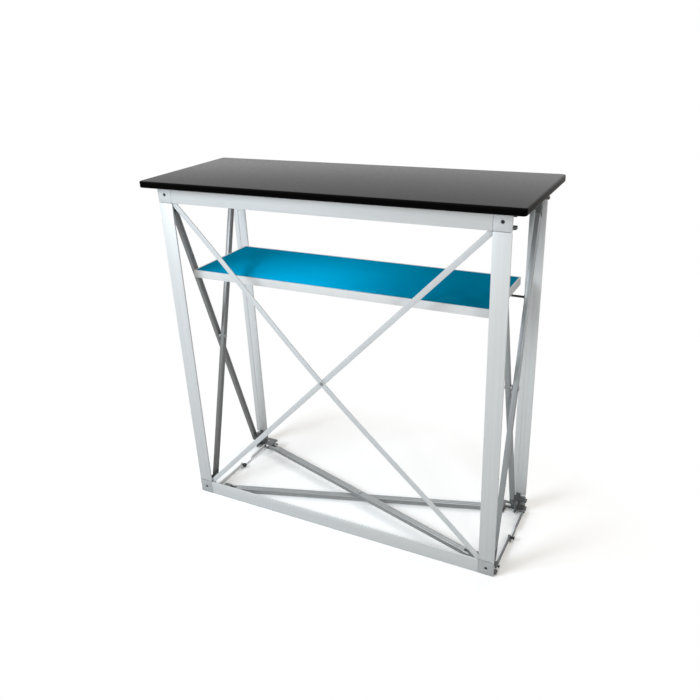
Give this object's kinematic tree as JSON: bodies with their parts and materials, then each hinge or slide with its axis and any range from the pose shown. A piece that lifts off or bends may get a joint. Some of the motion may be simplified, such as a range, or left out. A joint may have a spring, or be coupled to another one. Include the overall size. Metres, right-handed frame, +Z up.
{
  "type": "folding portable bar",
  "caption": "Portable bar counter on a folding frame: flat top over a shelf, crossed front braces, scissor sides, floor bars and locking arms that let the back legs close onto the front.",
  "frame": {"origin": "on the floor under the middle of the counter top", "axes": "+X along the counter to its right end seen from the front, +Y from the front to the back, +Z up"},
  "size_m": [1.04, 0.38, 1],
  "materials": {
    "frame_silver": "satin anodised",
    "cover_silver": "satin anodised",
    "brace_white": "satin",
    "hub_dark": "moulded matte",
    "screw_dark": "blackened",
    "bar_grey": "dark anodised",
    "floor_grey": "anodised",
    "arm_grey": "satin",
    "knob_dark": "moulded",
    "pin_steel": "turned",
    "fork_grey": "satin",
    "top_black": "gloss black laminate",
    "shelf_blue": "gloss blue laminate",
    "edging_white": "smooth edging"
  },
  "bodies": {
    "front_frame": {"leg_front_left": "frame_silver", "hub_front_left_bottom": "hub_dark", "hub_cover_front_left_bottom": "cover_silver", "hub_screw_front_left_bottom": "screw_dark", "hub_front_left_top": "hub_dark", "hub_cover_front_left_top": "cover_silver", "hub_screw_front_left_top": "screw_dark", "leg_front_right": "frame_silver", "hub_front_right_bottom": "hub_dark", "hub_cover_front_right_bottom": "cover_silver", "hub_screw_front_right_bottom": "screw_dark", "hub_front_right_top": "hub_dark", "hub_cover_front_right_top": "cover_silver", "hub_screw_front_right_top": "screw_dark", "floor_fork_front_left": "fork_grey", "floor_fork_front_right": "fork_grey", "rail_bottom": "frame_silver", "rail_top": "frame_silver", "brace_falling": "brace_white", "brace_rising": "brace_white", "brace_rivet": "pin_steel", "pivot_pin_left_rising": "pin_steel", "pivot_pin_right_rising": "pin_steel"},
    "left_rising": {"bar_left_rising": "bar_grey", "centre_pivot_left": "pin_steel"},
    "left_falling": {"bar_left_falling": "bar_grey"},
    "back_left": {"leg_back_left": "frame_silver", "hub_back_left_bottom": "hub_dark", "hub_cover_back_left_bottom": "cover_silver", "hub_screw_back_left_bottom": "screw_dark", "hub_back_left_top": "hub_dark", "hub_cover_back_left_top": "cover_silver", "hub_screw_back_left_top": "screw_dark", "floor_fork_back_left": "fork_grey", "pivot_pin_left_falling": "pin_steel"},
    "front_arm_left": {"lock_arm_front_left": "arm_grey", "lock_knob_left": "knob_dark"},
    "back_arm_left": {"lock_arm_back_left": "arm_grey"},
    "right_rising": {"bar_right_rising": "bar_grey", "centre_pivot_right": "pin_steel"},
    "right_falling": {"bar_right_falling": "bar_grey"},
    "back_right": {"leg_back_right": "frame_silver", "hub_back_right_bottom": "hub_dark", "hub_cover_back_right_bottom": "cover_silver", "hub_screw_back_right_bottom": "screw_dark", "hub_back_right_top": "hub_dark", "hub_cover_back_right_top": "cover_silver", "hub_screw_back_right_top": "screw_dark", "floor_fork_back_right": "fork_grey", "pivot_pin_right_falling": "pin_steel"},
    "front_arm_right": {"lock_arm_front_right": "arm_grey", "lock_knob_right": "knob_dark"},
    "back_arm_right": {"lock_arm_back_right": "arm_grey"},
    "floor_pivot": {"floor_rivet": "pin_steel"},
    "floor_low": {"floor_bar_low": "floor_grey"},
    "floor_high": {"floor_bar_high": "floor_grey"},
    "shelf": {"shelf_panel": "shelf_blue", "shelf_edging": "edging_white"},
    "top": {"counter_top": "top_black"}
  },
  "joints": [
    {"name": "fold", "type": "hinge", "parent": "front_frame", "child": "left_rising", "pos_m": [-0.4625, -0.125, 0.035], "axis": [1, 0, 0], "range_deg": [0, 14.3]},
    {"name": "left_scissor", "type": "hinge", "parent": "left_rising", "child": "left_falling", "pos_m": [-0.4625, 0.005, 0.485], "axis": [1, 0, 0], "range_deg": [-28.6, 0]},
    {"name": "left_back_foot", "type": "hinge", "parent": "left_falling", "child": "back_left", "pos_m": [-0.4625, 0.135, 0.035], "axis": [1, 0, 0], "range_deg": [0, 14.3]},
    {"name": "left_front_lock", "type": "hinge", "parent": "front_frame", "child": "front_arm_left", "pos_m": [-0.4625, -0.125, 0.01], "axis": [1, 0, 0], "range_deg": [0, 80]},
    {"name": "left_back_lock", "type": "hinge", "parent": "back_left", "child": "back_arm_left", "pos_m": [-0.4625, 0.135, 0.01], "axis": [1, 0, 0], "range_deg": [-80, 0]},
    {"name": "right_fold", "type": "hinge", "parent": "front_frame", "child": "right_rising", "pos_m": [0.4625, -0.125, 0.035], "axis": [1, 0, 0], "range_deg": [0, 14.3]},
    {"name": "right_scissor", "type": "hinge", "parent": "right_rising", "child": "right_falling", "pos_m": [0.4625, 0.005, 0.485], "axis": [1, 0, 0], "range_deg": [-28.6, 0]},
    {"name": "right_back_foot", "type": "hinge", "parent": "right_falling", "child": "back_right", "pos_m": [0.4625, 0.135, 0.035], "axis": [1, 0, 0], "range_deg": [0, 14.3]},
    {"name": "right_front_lock", "type": "hinge", "parent": "front_frame", "child": "front_arm_right", "pos_m": [0.4625, -0.125, 0.01], "axis": [1, 0, 0], "range_deg": [0, 80]},
    {"name": "right_back_lock", "type": "hinge", "parent": "back_right", "child": "back_arm_right", "pos_m": [0.4625, 0.135, 0.01], "axis": [1, 0, 0], "range_deg": [-80, 0]},
    {"name": "floor_pivot_slide", "type": "slide", "parent": "front_frame", "child": "floor_pivot", "axis": [0, -1, 0], "range_m": [0, 0.1155]},
    {"name": "floor_low_turn", "type": "hinge", "parent": "floor_pivot", "child": "floor_low", "pos_m": [0.007, 0, 0.011], "axis": [0, 0, 1], "range_deg": [-15.5, 0]},
    {"name": "floor_high_turn", "type": "hinge", "parent": "floor_pivot", "child": "floor_high", "pos_m": [0.007, 0, 0.0242], "axis": [0, 0, 1], "range_deg": [0, 15.5]},
    {"name": "shelf_lift", "type": "slide", "parent": "front_frame", "child": "shelf", "axis": [0, 0, 1], "range_m": [0, 0.05]},
    {"name": "top_lift", "type": "slide", "parent": "front_frame", "child": "top", "axis": [0, 0, 1], "range_m": [0, 0.04]}
  ],
  "couplings": [
    {"joint": "left_scissor", "follows": "fold", "ratio": -2},
    {"joint": "left_back_foot", "follows": "fold", "ratio": 1},
    {"joint": "left_front_lock", "follows": "fold", "ratio": 5.5944},
    {"joint": "left_back_lock", "follows": "fold", "ratio": -5.5944},
    {"joint": "right_fold", "follows": "fold", "ratio": 1},
    {"joint": "right_scissor", "follows": "fold", "ratio": -2},
    {"joint": "right_back_foot", "follows": "fold", "ratio": 1},
    {"joint": "right_front_lock", "follows": "fold", "ratio": 5.5944},
    {"joint": "right_back_lock", "follows": "fold", "ratio": -5.5944},
    {"joint": "floor_pivot_slide", "follows": "fold", "m_per_rad": 0.4615},
    {"joint": "floor_low_turn", "follows": "fold", "ratio": -1.0775},
    {"joint": "floor_high_turn", "follows": "fold", "ratio": 1.0775},
    {"joint": "shelf_lift", "follows": "fold", "m_per_rad": 0.196}
  ]
}
